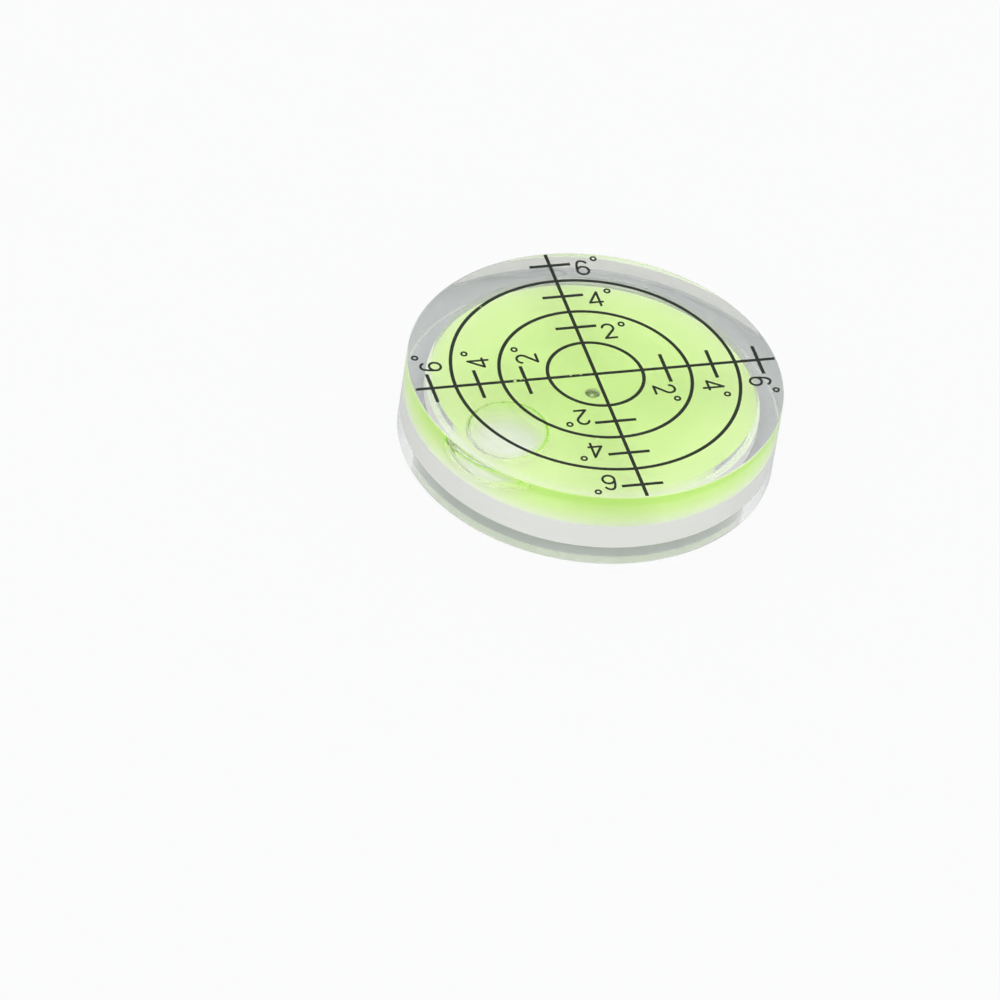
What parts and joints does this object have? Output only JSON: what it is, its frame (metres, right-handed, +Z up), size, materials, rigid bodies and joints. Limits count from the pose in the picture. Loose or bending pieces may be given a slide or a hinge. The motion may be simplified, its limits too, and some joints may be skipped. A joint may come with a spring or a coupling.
{
  "type": "bullseye level",
  "caption": "Round bullseye level: a clear disc filled with green spirit and one air bubble over a white base, read against printed degree rings and a cross.",
  "frame": {"origin": "centre of the face that the level stands on", "axes": "+Z up, square to the face that it stands on; +Y along the arm of the cross whose figures stand upright when read"},
  "size_m": [0.032, 0.032, 0.0073],
  "materials": {
    "clear_plastic": "polished clear acrylic",
    "white_plastic": "smooth moulded white",
    "ball_steel": "ground ball, wetted by the spirit",
    "green_spirit": "clear yellow-green liquid",
    "black_ink": "black pad print"
  },
  "bodies": {
    "root": {"housing": "clear_plastic", "base_plug": "white_plastic", "seal_ball": "ball_steel", "spirit": "green_spirit", "scale_lines": "black_ink", "scale_figures": "black_ink"}
  },
  "joints": []
}
